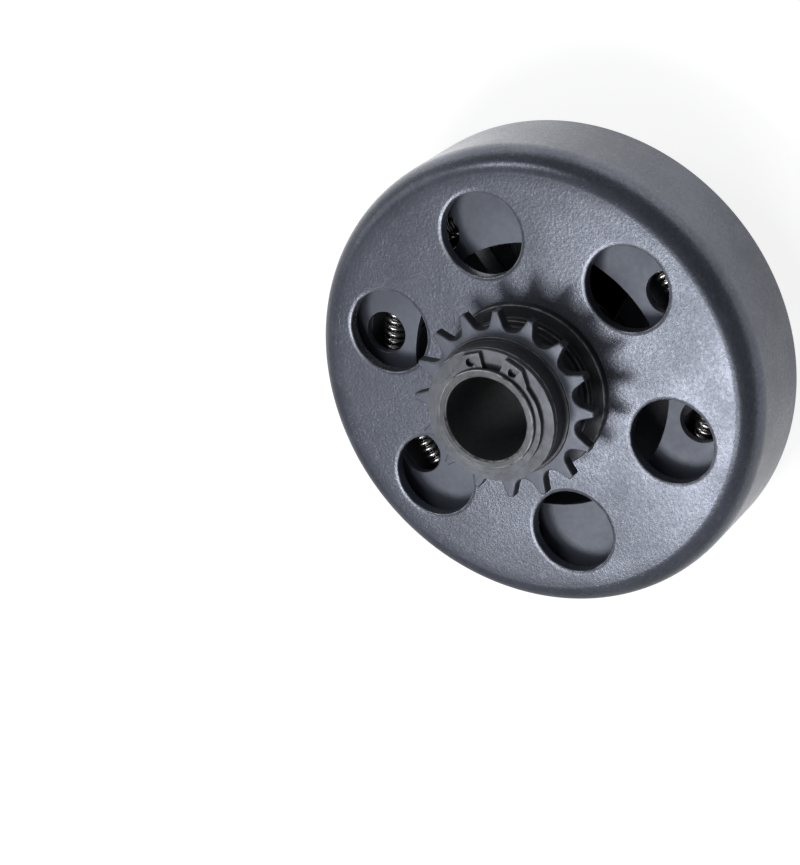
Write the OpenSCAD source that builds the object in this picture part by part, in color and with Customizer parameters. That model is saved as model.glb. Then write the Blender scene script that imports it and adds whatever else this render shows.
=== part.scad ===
// Centrifugal clutch: bell drum with a chain sprocket turning on a bored hub,
// three sliding shoes between two guide plates, held in by one garter spring.
// Upright frame, millimetres: the shaft axis is Z, the sprocket end is up and
// the end of the rear boss lies at z = 0.

/* [Drum] */
// outside diameter of the drum
drum_d = 112; // [111:0.5:115]
// depth of the drum from its open rim to its outer face
drum_depth = 25.5; // [25.3:0.1:28]
// sheet thickness of the drum
drum_wall = 3; // [2.6:0.1:3.2]
// outer radius of the rolled edge between face and side
drum_corner = 6.5; // [5:0.5:8]
// diameter of each round window in the face
window_d = 20.2; // [17:0.2:21]
// flat land between a window and the rolled edge
window_land = 2.7; // [1.9:0.1:3.2]
// number of windows
window_count = 6; // [4:1:6]

/* [Sprocket] */
// number of teeth
tooth_count = 16; // [16:1:20]
// pitch of the roller chain
chain_pitch = 8; // [7.9:0.05:8.2]
// diameter of the tooth seats
seat_d = 5; // [4.8:0.05:5.2]
// height of the tooth tips beyond the pitch circle
tip_height = 2; // [1.6:0.1:2.3]
// half angle between the flanks of a tooth space
flank_angle = 28; // [22:1:30]
// thickness of the toothed rim
tooth_width = 3; // [2.6:0.1:3.4]
// height of the underside of the teeth above the drum face
tooth_stand = 10; // [9:0.2:10.6]
// wall of the collar above the teeth, round the bush
collar_wall = 1.8; // [1.5:0.1:2]
// height of the collar top above the drum face
collar_top = 17.9; // [17.2:0.1:18]
// diameter of the flange on the drum face
flange_d = 40.8; // [38:0.2:46]

/* [Hub] */
// bore for the engine shaft
bore_d = 20; // [18:0.05:20.4]
// wall of the tube carrying the drum
tube_wall = 1.8; // [1.5:0.1:2]
// wall of the drum bush
bush_wall = 2.2; // [1.8:0.1:2.4]
// height of the tube end above the drum face
hub_stand = 21.7; // [21.6:0.1:24]
// diameter of the rear boss
boss_d = 25.2; // [23.6:0.2:26.4]
// diameter of the body between the guide plates
core_d = 41; // [39:0.5:43]
// width of the three driving lugs
lug_width = 14; // [10:0.5:16]
// bearing depth of the front guide plate on the posts of the hub arms
post_depth = 3.9; // [3:0.1:4.5]
// thickness of the hub arms
arm_t = 7; // [6:0.1:8]

/* [Shoes] */
// outward travel of each shoe
shoe_travel = 1.5; // [1:0.1:1.8]
// angle covered by each shoe
shoe_angle = 102; // [96:1:104]
// room between the front guide plate and the drum face
stack_room = 3.5; // [3.2:0.1:4.5]

/* [Guide plates] */
// gap between the guide plates and the inside of the drum
plate_gap = 2.3; // [2.1:0.1:3.5]
// thickness of the front guide plate
front_plate_t = 2; // [1.6:0.1:2.2]
// thickness of the rear guide plate
rear_plate_t = 2.5; // [2:0.1:3]
// diameter of the holes in the front guide plate
plate_hole_d = 10.2; // [8:0.2:10.8]
// number of holes in the front guide plate
plate_hole_count = 8; // [4:1:8]
// angle covered by each notch of the rear guide plate
notch_angle = 32; // [26:1:36]
// distance of the straight inner edge of a notch from the axis
notch_reach = 30; // [28:0.5:34]

/* [Garter spring] */
// distance of the coil ring from the edge of the guide plates
spring_inset = 10.2; // [9.9:0.1:10.5]
// outside diameter of the coils
coil_d = 6.2; // [5.6:0.1:6.4]
// wire diameter
wire_d = 1.5; // [1.2:0.05:1.55]
// gap between neighbouring coils along the ring
coil_gap = 0.19; // [0.15:0.01:0.5]

/* [Slotted nut] */
// wall of the slotted nut, from thread to outside
nut_wall = 7.9; // [6.5:0.1:8.5]
// height of the slotted nut
nut_height = 9.8; // [8:0.1:10.4]
// width of the eight slots
nut_slot_w = 5.8; // [4:0.2:6.4]
// number of slots
nut_slot_count = 8; // [4:1:8]

/* [Hidden] */
$fa = 4;
$fs = 0.4;
fit = 0.05;
ease = 0.15;
rim_z = 14.3;
face_z = rim_z + drum_depth;
drum_r = drum_d / 2;
web_z = face_z - drum_wall;
hub_top_z = face_z + hub_stand;
rear_plate_z = rim_z + 0.8;
core_z = rear_plate_z + rear_plate_t;
front_plate_z = web_z - stack_room - front_plate_t;
core_h = front_plate_z - core_z;
shoe_thickness = core_h - 2 * ease;
front_plate_top = front_plate_z + front_plate_t;
nut_z = rear_plate_z - nut_height;
bore_r = bore_d / 2;
boss_r = boss_d / 2;
thread_wall = 5.5;
thread_r = bore_r + thread_wall;
shoulder_r = thread_r + 1;
tube_r = bore_r + tube_wall;
bush_r = tube_r + bush_wall;
collar_r = bush_r + collar_wall;
spigot_r = collar_r + 0.8;
neck_r = collar_r - 0.2;
root_ring_r = collar_r + 0.85;
flange_step_r = collar_r + 1.4;
pitch_d = chain_pitch / sin(180 / tooth_count);
tip_d = pitch_d + 2 * tip_height;
inner_washer_t = stack_room - 2;
inner_washer_z = front_plate_top + fit;
bush_z = inner_washer_z + inner_washer_t + fit;
collar_z = face_z + collar_top;
washer_t = 1.4;
washer_wall = 4;
washer_z = collar_z + fit;
clip_t = 1.2;
clip_gap_half = 9.5;
clip_z = washer_z + washer_t + fit;
groove_r = tube_r - 0.9;
clip_turn = 37.4;
sprocket_turn = 12.5;
plate_hole_turn = -9.3;
shoe_turn = 13.5;
notch_lead = 10;
coil_z = front_plate_z - 0.1 - coil_d / 2;
shoe_z = core_z + ease;
drum_bore_r = drum_r - drum_wall;
window_ring_r = drum_r - drum_corner - window_land - window_d / 2;
plate_r = drum_bore_r - plate_gap;
spring_ring_r = plate_r - spring_inset;
groove_in_r = spring_ring_r - coil_d / 2 - shoe_travel - 0.1;
groove_out_r = spring_ring_r + coil_d / 2 + 1.7;
lug_reach = groove_in_r + 0.4;
plate_bore_r = lug_reach - post_depth;
heel_r = plate_bore_r + 0.7;
post_edge = 0.5;
coil_count = floor(2 * PI * spring_ring_r / (wire_d + coil_gap));
slot_half = lug_width / 2 + fit;
spring_steps = 6;

// flat ring
module ring(outer_r, inner_r, z, h) {
    difference() {
        translate([0, 0, z]) cylinder(r = outer_r, h = h);
        translate([0, 0, z - 1]) cylinder(r = inner_r, h = h + 2);
    }
}

// half section of a cup with a rolled corner, open downwards
module cup_section(r, top, corner) {
    square([r, top - corner]);
    square([r - corner, top]);
    translate([r - corner, top - corner]) circle(r = corner);
}

module drum() {
    color([0.38, 0.39, 0.43])
    difference() {
        rotate_extrude() difference() {
            translate([0, rim_z]) intersection() {
                cup_section(drum_r, drum_depth, drum_corner);
                square([drum_r + 1, drum_depth + 1]);
            }
            translate([0, rim_z - 1])
                cup_section(drum_bore_r, drum_depth - drum_wall + 1, drum_corner - drum_wall);
        }
        for (i = [0 : window_count - 1])
            rotate(i * 360 / window_count)
                translate([window_ring_r, 0, web_z - 1])
                    cylinder(d = window_d, h = drum_wall + 2);
        translate([0, 0, web_z - 1]) cylinder(r = spigot_r, h = drum_wall + 2);
    }
}

// one tooth space: a round seat opening outwards
module tooth_space() {
    rp = pitch_d / 2;
    rs = seat_d / 2;
    reach = tip_d / 2 - rp + 2;
    y0 = rs * cos(flank_angle);
    x0 = rs * sin(flank_angle);
    y1 = y0 + (reach + x0) * tan(flank_angle);
    translate([rp, 0]) circle(r = rs);
    polygon([[rp - x0, -y0], [rp + reach, -y1], [rp + reach, y1], [rp - x0, y0]]);
}

module sprocket() {
    color([0.2, 0.2, 0.22])
    difference() {
        union() {
            translate([0, 0, face_z + tooth_stand]) linear_extrude(tooth_width) difference() {
                circle(d = tip_d);
                for (i = [0 : tooth_count - 1])
                    rotate(sprocket_turn + i * 360 / tooth_count) tooth_space();
            }
            translate([0, 0, face_z]) cylinder(d = flange_d, h = 2);
            translate([0, 0, face_z]) cylinder(r = flange_step_r, h = 3.8);
            translate([0, 0, face_z]) cylinder(r = neck_r, h = tooth_stand);
            translate([0, 0, web_z - 0.4]) cylinder(r = spigot_r, h = drum_wall + 0.4);
            translate([0, 0, face_z + tooth_stand]) cylinder(r = root_ring_r, h = tooth_width + 0.5);
            translate([0, 0, face_z + tooth_stand]) cylinder(r = collar_r, h = collar_top - tooth_stand);
        }
        translate([0, 0, web_z - 2]) cylinder(r = bush_r, h = collar_top + drum_wall + 4);
    }
}

module drum_bush() {
    color([0.66, 0.5, 0.3])
    ring(bush_r, tube_r + fit, bush_z, collar_z - bush_z);
}

module front_thrust_washer() {
    color([0.45, 0.46, 0.48])
    ring(tube_r + washer_wall, tube_r + fit, washer_z, washer_t);
}

module inner_thrust_washer() {
    color([0.45, 0.46, 0.48])
    ring(shoulder_r + 0.5, tube_r + fit, inner_washer_z, inner_washer_t);
}

module retaining_ring() {
    color([0.6, 0.61, 0.64])
    translate([0, 0, clip_z]) rotate(clip_turn) difference() {
        union() {
            translate([-0.3, 0, 0]) cylinder(r = tube_r + 1.3, h = clip_t);
            for (side = [0, 1])
                mirror([0, side, 0]) rotate(23) linear_extrude(clip_t)
                    polygon([[tube_r - 0.4, -2.9], [tube_r + 3.3, -2.9], [tube_r + 3.3, 1.6],
                             [tube_r + 0.9, 4.2], [tube_r - 0.4, 4.2]]);
        }
        translate([0, 0, -1]) cylinder(r = groove_r + fit, h = clip_t + 2);
        translate([0, 0, -1]) linear_extrude(clip_t + 2)
            polygon([[0, 0], [2 * tube_r * cos(clip_gap_half), -2 * tube_r * sin(clip_gap_half)],
                     [2 * tube_r * cos(clip_gap_half), 2 * tube_r * sin(clip_gap_half)]]);
        for (side = [-1, 1])
            rotate(side * 23.2) translate([tube_r + 1.5, 0, -1]) cylinder(r = 1.05, h = clip_t + 2);
    }
}

// half section of the turned hub body, from the rear boss to the tube end
module hub_section() {
    chamfer = min(0.45, tube_wall / 3, (boss_r - bore_r) / 3);
    step_r = boss_r + 1.3;
    step_z = nut_z - 1.5;
    polygon([[bore_r + chamfer, 0], [boss_r, 0], [boss_r, step_z], [step_r, step_z],
             [step_r, nut_z + 3], [thread_r, nut_z + 3], [thread_r, core_z + arm_t / 2],
             [shoulder_r, core_z + arm_t / 2], [shoulder_r, front_plate_top],
             [tube_r, front_plate_top], [tube_r, clip_z - fit], [groove_r, clip_z - fit],
             [groove_r, clip_z + clip_t + fit], [tube_r, clip_z + clip_t + fit],
             [tube_r, hub_top_z], [bore_r + chamfer, hub_top_z],
             [bore_r, hub_top_z - chamfer], [bore_r, chamfer]]);
}

module hub() {
    color([0.5, 0.5, 0.52])
    union() {
        rotate_extrude() hub_section();
        translate([0, 0, core_z]) linear_extrude(arm_t) difference() {
            union() {
                circle(d = core_d);
                for (i = [0 : 2])
                    rotate(shoe_turn + i * 120)
                        translate([0, -lug_width / 2]) square([lug_reach, lug_width]);
            }
            circle(r = (bore_r + thread_r) / 2);
        }
        for (i = [0 : 2])
            rotate(shoe_turn + i * 120)
                translate([plate_bore_r, post_edge - lug_width / 2, core_z + arm_t / 2])
                    cube([post_depth - post_edge, lug_width - 2 * post_edge, core_h - arm_t / 2]);
    }
}

module slotted_nut() {
    color([0.5, 0.5, 0.5])
    difference() {
        ring(thread_r + nut_wall, thread_r, nut_z, nut_height);
        for (i = [0 : nut_slot_count - 1])
            rotate(i * 360 / nut_slot_count)
                translate([thread_r + 1.4, -nut_slot_w / 2, nut_z - 1])
                    cube([2 * nut_wall, nut_slot_w, nut_height + 2]);
    }
}

module front_guide_plate() {
    color([0.46, 0.47, 0.5])
    difference() {
        ring(plate_r, plate_bore_r, front_plate_z, front_plate_t);
        for (i = [0 : plate_hole_count - 1])
            rotate(plate_hole_turn + i * 360 / plate_hole_count)
                translate([spring_ring_r, 0, front_plate_z - 1])
                    cylinder(d = plate_hole_d, h = front_plate_t + 2);
    }
}

// one notch outline: straight inner edge, one sharp and one round inner corner
module notch_outline() {
    half = notch_angle / 2;
    out = 2 * plate_r;
    inner_y = notch_reach * tan(half);
    round_r = 3;
    polygon([[notch_reach, -inner_y], [out, -out * tan(half)], [out, out * tan(half)],
             [notch_reach + round_r, (notch_reach + round_r) * tan(half)],
             [notch_reach, inner_y - round_r * 1.2]]);
    translate([notch_reach + round_r, inner_y - round_r * 0.95]) circle(r = round_r);
}

module rear_guide_plate() {
    color([0.5, 0.51, 0.54])
    translate([0, 0, rear_plate_z]) linear_extrude(rear_plate_t) difference() {
        circle(r = plate_r);
        circle(r = thread_r);
        for (i = [0 : 2])
            rotate(shoe_turn + 60 - notch_lead + i * 120) notch_outline();
    }
}

module shoe(turn) {
    half = shoe_angle / 2;
    far = 2 * drum_r;
    color([0.5, 0.53, 0.54])
    rotate(turn)
    difference() {
        translate([0, 0, shoe_z]) linear_extrude(shoe_thickness) difference() {
            intersection() {
                translate([-shoe_travel, 0]) circle(r = drum_bore_r - fit);
                polygon([[0, 0], [far * cos(half), -far * sin(half)],
                         [far, -far * sin(half)], [far, far * sin(half)],
                         [far * cos(half), far * sin(half)]]);
            }
            circle(r = core_d / 2 + 1);
            translate([0, -slot_half]) square([lug_reach + fit, 2 * slot_half]);
        }
        ring(groove_out_r, groove_in_r, coil_z - coil_d / 2 - 0.1, coil_d * 2);
        translate([0, 0, core_z + arm_t - ease]) cylinder(r = heel_r, h = core_h);
    }
}

// closed helix wound round a ring: every cross section is a small square
module garter_spring() {
    turns = coil_count * spring_steps;
    mean_r = (coil_d - wire_d) / 2;
    w = wire_d / 2;
    sides = 4;
    points = [for (i = [0 : turns - 1]) for (k = [0 : sides - 1])
        let (a = i * 360 / turns,
             b = i * 360 / spring_steps,
             c = k * 360 / sides,
             rr = mean_r + w * cos(c),
             radial = spring_ring_r + rr * cos(b),
             slide = w * sin(c) * 180 / (PI * spring_ring_r))
        [radial * cos(a + slide), radial * sin(a + slide), coil_z + rr * sin(b)]];
    faces = [for (i = [0 : turns - 1]) for (k = [0 : sides - 1]) for (h = [0, 1])
        let (j = (i + 1) % turns,
             m = (k + 1) % sides)
        h == 0 ? [i * sides + k, j * sides + k, j * sides + m]
               : [i * sides + k, j * sides + m, i * sides + m]];
    color([0.7, 0.71, 0.73])
    polyhedron(points = points, faces = faces);
}

drum();
sprocket();
drum_bush();
front_thrust_washer();
retaining_ring();
inner_thrust_washer();
hub();
slotted_nut();
front_guide_plate();
rear_guide_plate();
shoe(shoe_turn);  // shoe_1
shoe(shoe_turn + 120);  // shoe_2
shoe(shoe_turn + 240);  // shoe_3
garter_spring();
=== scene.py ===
import math

import bmesh
import bpy
from mathutils import Matrix, Vector, geometry


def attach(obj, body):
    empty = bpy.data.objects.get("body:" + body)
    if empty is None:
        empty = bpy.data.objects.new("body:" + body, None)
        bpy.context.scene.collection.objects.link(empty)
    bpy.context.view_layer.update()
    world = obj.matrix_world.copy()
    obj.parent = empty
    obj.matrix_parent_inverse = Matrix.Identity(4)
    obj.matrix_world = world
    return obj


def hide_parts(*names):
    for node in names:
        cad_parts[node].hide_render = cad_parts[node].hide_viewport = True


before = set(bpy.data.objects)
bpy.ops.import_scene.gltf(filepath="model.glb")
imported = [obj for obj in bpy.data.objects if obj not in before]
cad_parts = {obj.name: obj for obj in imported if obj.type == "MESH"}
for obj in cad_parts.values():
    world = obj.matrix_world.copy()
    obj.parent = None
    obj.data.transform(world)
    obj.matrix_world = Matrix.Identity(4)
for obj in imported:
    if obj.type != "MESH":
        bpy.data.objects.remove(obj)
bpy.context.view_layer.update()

MM = 0.001

# Heights and radii in millimetres, the same as in the part's source.
FACE_Z = 39.8
RIM_Z = 14.3
DRUM_R = 56.0
DRUM_WALL = 3.0
DRUM_CORNER = 6.5
WINDOW_R = 10.1
WINDOW_RING_R = 36.7
SPIGOT_R = 16.6
TOOTH_COUNT = 16
PITCH_R = 4.0 / math.sin(math.pi / TOOTH_COUNT)
TIP_R = PITCH_R + 2.0
SEAT_R = 2.5
FLANK = math.radians(28)
TOOTH_LOW = 49.8
TOOTH_TOP = 52.8
COLLAR_R = 15.8
COLLAR_TOP = 57.7
BUSH_R = 14.0
TUBE_R = 11.8
BORE_R = 10.0
CLIP_LOW = 59.2
CLIP_TOP = 60.4
HUB_TOP = 61.5
CORE_LOW = 17.6
CORE_TOP = 31.3
FRONT_PLATE_TOP = 33.3
PLATE_R = 50.7
SHOULDER_R = 16.5
REAR_PLATE_LOW = 15.1
NUT_LOW = 5.3
NUT_R = 23.4
THREAD_R = 15.5
COIL_RING_R = 40.5
COIL_Z = 28.1
SHOE_TURN = 13.5
PLATE_BORE_R = 32.3
ARM_TOP = 24.6
ARM_REACH = 36.2


# Node helpers.
def put(tree, kind, inputs=None, **settings):
    """Adds a node, sets its properties, and fills or links its inputs."""
    made = tree.nodes.new(kind)
    for name, value in settings.items():
        setattr(made, name, value)
    for key, value in (inputs or {}).items():
        if isinstance(value, bpy.types.NodeSocket):
            tree.links.new(value, made.inputs[key])
        else:
            made.inputs[key].default_value = value
    return made


def new_group(name, kind, inputs, outputs):
    """An empty node group with named inputs and outputs."""
    tree = bpy.data.node_groups.new(name, kind)
    for label, socket_kind, value in inputs:
        socket = tree.interface.new_socket(name=label, in_out="INPUT", socket_type=socket_kind)
        if value is not None:
            socket.default_value = value
    for label, socket_kind in outputs:
        tree.interface.new_socket(name=label, in_out="OUTPUT", socket_type=socket_kind)
    return tree, tree.nodes.new("NodeGroupInput"), tree.nodes.new("NodeGroupOutput")


# Surface effects.
def clouding_group():
    """Soft patches of a darker and a lighter tone, with a finer mottle on top."""
    tree, start, end = new_group(
        "clouding",
        "ShaderNodeTree",
        [
            ("Position", "NodeSocketVector", None),
            ("Patches Per Metre", "NodeSocketFloat", 50.0),
            ("Mottles Per Metre", "NodeSocketFloat", 700.0),
            ("Mottle Share", "NodeSocketFloat", 0.35),
            ("Dark", "NodeSocketColor", (0.1, 0.1, 0.12, 1)),
            ("Light", "NodeSocketColor", (0.2, 0.2, 0.22, 1)),
        ],
        [("Color", "NodeSocketColor"), ("Mask", "NodeSocketFloat")],
    )
    patches = put(
        tree,
        "ShaderNodeTexNoise",
        {"Vector": start.outputs["Position"], "Scale": start.outputs["Patches Per Metre"],
         "Detail": 5.0, "Roughness": 0.55},
    )
    mottles = put(
        tree,
        "ShaderNodeTexNoise",
        {"Vector": start.outputs["Position"], "Scale": start.outputs["Mottles Per Metre"],
         "Detail": 3.0, "Roughness": 0.6},
    )
    both = put(
        tree,
        "ShaderNodeMix",
        {0: start.outputs["Mottle Share"], 2: patches.outputs["Fac"], 3: mottles.outputs["Fac"]},
    )
    spread = put(
        tree,
        "ShaderNodeMapRange",
        {"Value": both.outputs[0], "From Min": 0.32, "From Max": 0.68},
        interpolation_type="SMOOTHSTEP",
    )
    tone = put(
        tree,
        "ShaderNodeMix",
        {0: spread.outputs["Result"], 6: start.outputs["Dark"], 7: start.outputs["Light"]},
        data_type="RGBA",
    )
    tree.links.new(tone.outputs[2], end.inputs["Color"])
    tree.links.new(spread.outputs["Result"], end.inputs["Mask"])
    return tree


def grain_group():
    """Fine crystals on a coated or cast face, as a height and a mask of the bright ones."""
    tree, start, end = new_group(
        "crystal_grain",
        "ShaderNodeTree",
        [
            ("Position", "NodeSocketVector", None),
            ("Crystals Per Metre", "NodeSocketFloat", 1500.0),
            ("Bright Share", "NodeSocketFloat", 0.2),
        ],
        [("Height", "NodeSocketFloat"), ("Bright", "NodeSocketFloat")],
    )
    fine = put(
        tree,
        "ShaderNodeTexNoise",
        {"Vector": start.outputs["Position"], "Scale": start.outputs["Crystals Per Metre"],
         "Detail": 2.0, "Roughness": 0.6},
    )
    cells = put(
        tree,
        "ShaderNodeTexVoronoi",
        {"Vector": start.outputs["Position"], "Scale": start.outputs["Crystals Per Metre"]},
    )
    shade = put(tree, "ShaderNodeSeparateColor", {"Color": cells.outputs["Color"]})
    least = put(
        tree,
        "ShaderNodeMath",
        {0: 1.0, 1: start.outputs["Bright Share"]},
        operation="SUBTRACT",
    )
    bright = put(
        tree,
        "ShaderNodeMapRange",
        {"Value": shade.outputs["Red"], "From Min": least.outputs[0], "From Max": 1.0},
    )
    height = put(
        tree,
        "ShaderNodeMath",
        {0: fine.outputs["Fac"], 1: 0.8},
        operation="MULTIPLY",
    )
    with_cells = put(
        tree,
        "ShaderNodeMath",
        {0: shade.outputs["Green"], 1: 0.2, 2: height.outputs[0]},
        operation="MULTIPLY_ADD",
    )
    tree.links.new(with_cells.outputs[0], end.inputs["Height"])
    tree.links.new(bright.outputs["Result"], end.inputs["Bright"])
    return tree


def edge_wear_and_glint_group():
    """Broken bright wear where the mesh carries its edge mark: partly wear, partly a painted
    highlight on rounded edges.
    """
    tree, start, end = new_group(
        "edge_wear_and_glint",
        "ShaderNodeTree",
        [
            ("Position", "NodeSocketVector", None),
            ("Breaks Per Metre", "NodeSocketFloat", 400.0),
            ("Amount", "NodeSocketFloat", 0.8),
        ],
        [("Mask", "NodeSocketFloat")],
    )
    mark = put(tree, "ShaderNodeAttribute", attribute_name="edge")
    breaks = put(
        tree,
        "ShaderNodeTexNoise",
        {"Vector": start.outputs["Position"], "Scale": start.outputs["Breaks Per Metre"],
         "Detail": 3.0},
    )
    open_breaks = put(
        tree,
        "ShaderNodeMapRange",
        {"Value": breaks.outputs["Fac"], "From Min": 0.35, "From Max": 0.6},
    )
    wear_and_glint = put(
        tree,
        "ShaderNodeMath",
        {0: mark.outputs["Fac"], 1: open_breaks.outputs["Result"]},
        operation="MULTIPLY",
    )
    amount = put(
        tree,
        "ShaderNodeMath",
        {0: wear_and_glint.outputs[0], 1: start.outputs["Amount"]},
        operation="MULTIPLY",
        use_clamp=True,
    )
    tree.links.new(amount.outputs[0], end.inputs["Mask"])
    return tree


def turned_lines_group():
    """Fine rings left by turning: lines round the shaft axis on faces and on sides."""
    tree, start, end = new_group(
        "turned_lines",
        "ShaderNodeTree",
        [
            ("Position", "NodeSocketVector", None),
            ("Lines Per Metre", "NodeSocketFloat", 3000.0),
        ],
        [("Height", "NodeSocketFloat"), ("Mask", "NodeSocketFloat")],
    )
    parts = put(tree, "ShaderNodeSeparateXYZ", {"Vector": start.outputs["Position"]})
    flat = put(tree, "ShaderNodeCombineXYZ", {"X": parts.outputs["X"], "Y": parts.outputs["Y"]})
    radius = put(tree, "ShaderNodeVectorMath", {0: flat.outputs[0]}, operation="LENGTH")
    along = put(
        tree,
        "ShaderNodeMath",
        {0: radius.outputs["Value"], 1: parts.outputs["Z"]},
        operation="ADD",
    )
    step = put(
        tree,
        "ShaderNodeMath",
        {0: along.outputs[0], 1: start.outputs["Lines Per Metre"]},
        operation="MULTIPLY",
    )
    lines = put(
        tree,
        "ShaderNodeTexNoise",
        {"W": step.outputs[0], "Scale": 1.0, "Detail": 2.0, "Roughness": 0.7},
        noise_dimensions="1D",
    )
    sharp = put(
        tree,
        "ShaderNodeMapRange",
        {"Value": lines.outputs["Fac"], "From Min": 0.35, "From Max": 0.65},
    )
    tree.links.new(lines.outputs["Fac"], end.inputs["Height"])
    tree.links.new(sharp.outputs["Result"], end.inputs["Mask"])
    return tree


CLOUDING = clouding_group()
GRAIN = grain_group()
EDGE_WEAR_AND_GLINT = edge_wear_and_glint_group()
TURNED = turned_lines_group()


def use_group(tree, group, inputs):
    made = tree.nodes.new("ShaderNodeGroup")
    made.node_tree = group
    for key, value in inputs.items():
        if isinstance(value, bpy.types.NodeSocket):
            tree.links.new(value, made.inputs[key])
        else:
            made.inputs[key].default_value = value
    return made


def finish(
    name,
    dark,
    light,
    wear_and_glint_tone,
    metallic=0.8,
    rough=(0.34, 0.5),
    patches=50.0,
    mottles=700.0,
    mottle_share=0.35,
    crystals=1500.0,
    bright=0.2,
    bright_gain=0.3,
    bump=0.3,
    relief=0.00004,
    lines=0.0,
    line_share=0.0,
    wear_and_glint_amount=0.8,
    painted_shade_above=None,
    ground_and_lit_face_at=None,
):
    """A metal finish: clouded tone, grain, turning lines and rubbed edges that are partly wear and
    partly painted highlights, with optional painted shade above a height and an optional paler flat
    face that is partly painted light.
    """
    made = bpy.data.materials.new(name)
    made.use_nodes = True
    tree = made.node_tree
    tree.nodes.clear()
    out = tree.nodes.new("ShaderNodeOutputMaterial")
    place = tree.nodes.new("ShaderNodeTexCoord").outputs["Object"]
    shader = put(tree, "ShaderNodeBsdfPrincipled", {"Metallic": metallic})
    clouds = use_group(
        tree,
        CLOUDING,
        {"Position": place, "Patches Per Metre": patches, "Mottles Per Metre": mottles,
         "Mottle Share": mottle_share, "Dark": (*dark, 1), "Light": (*light, 1)},
    )
    grain = use_group(
        tree,
        GRAIN,
        {"Position": place, "Crystals Per Metre": crystals, "Bright Share": bright},
    )
    # Rubbed edges: bright wear that also stands in for painted highlights on the rounded edges.
    wear_and_glint = use_group(tree, EDGE_WEAR_AND_GLINT, {"Position": place, "Amount": wear_and_glint_amount})
    glint = put(
        tree,
        "ShaderNodeMath",
        {0: grain.outputs["Bright"], 1: bright_gain},
        operation="MULTIPLY",
    )
    speckled = put(
        tree,
        "ShaderNodeMix",
        {0: glint.outputs[0], 6: clouds.outputs["Color"], 7: (*wear_and_glint_tone, 1)},
        data_type="RGBA",
    )
    height = grain.outputs["Height"]
    tone = speckled.outputs[2]
    if lines:
        rings = use_group(tree, TURNED, {"Position": place, "Lines Per Metre": lines})
        height = put(
            tree,
            "ShaderNodeMix",
            {0: line_share, 2: grain.outputs["Height"], 3: rings.outputs["Height"]},
        ).outputs[0]
        darker = put(
            tree,
            "ShaderNodeMix",
            {0: rings.outputs["Mask"], 6: (*dark, 1), 7: tone},
            data_type="RGBA",
        ).outputs[2]
        tone = put(
            tree,
            "ShaderNodeMix",
            {0: 0.5 * line_share, 6: tone, 7: darker},
            data_type="RGBA",
        ).outputs[2]
    final = put(
        tree,
        "ShaderNodeMix",
        {0: wear_and_glint.outputs["Mask"], 6: tone, 7: (*wear_and_glint_tone, 1)},
        data_type="RGBA",
    )
    roughness = put(
        tree,
        "ShaderNodeMapRange",
        {"Value": clouds.outputs["Mask"], "To Min": rough[1], "To Max": rough[0]},
    )
    raised = put(
        tree,
        "ShaderNodeBump",
        {"Strength": bump, "Distance": relief, "Height": height},
    )
    height_up = put(tree, "ShaderNodeSeparateXYZ", {"Vector": place})
    # Tooth fronts: the flat face at this height takes a paler tone (0.1, 0.11, 0.14), partly a
    # ground face and partly painted light on faces turned to the lamp.
    if ground_and_lit_face_at is not None:
        ground_and_lit_face = put(
            tree,
            "ShaderNodeMath",
            {0: height_up.outputs["Z"], 1: ground_and_lit_face_at, 2: 0.00008},
            operation="COMPARE",
        )
        final = put(
            tree,
            "ShaderNodeMix",
            {0: ground_and_lit_face.outputs[0], 6: final.outputs[2], 7: (0.1, 0.11, 0.14, 1)},
            data_type="RGBA",
        )
    # Painted shade: from 1.5 mm below this height upward the tone darkens toward (0.1, 0.1, 0.12),
    # standing in for the shade inside the clutch.
    if painted_shade_above is not None:
        painted_shade = put(
            tree,
            "ShaderNodeMapRange",
            {"Value": height_up.outputs["Z"], "From Min": painted_shade_above - 0.0015,
             "From Max": painted_shade_above, "To Max": 0.9},
        )
        final = put(
            tree,
            "ShaderNodeMix",
            {0: painted_shade.outputs["Result"], 6: final.outputs[2], 7: (0.1, 0.1, 0.12, 1)},
            data_type="RGBA",
        )
    tree.links.new(final.outputs[2], shader.inputs["Base Color"])
    tree.links.new(roughness.outputs["Result"], shader.inputs["Roughness"])
    tree.links.new(raised.outputs["Normal"], shader.inputs["Normal"])
    tree.links.new(shader.outputs[0], out.inputs["Surface"])
    return made


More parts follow.
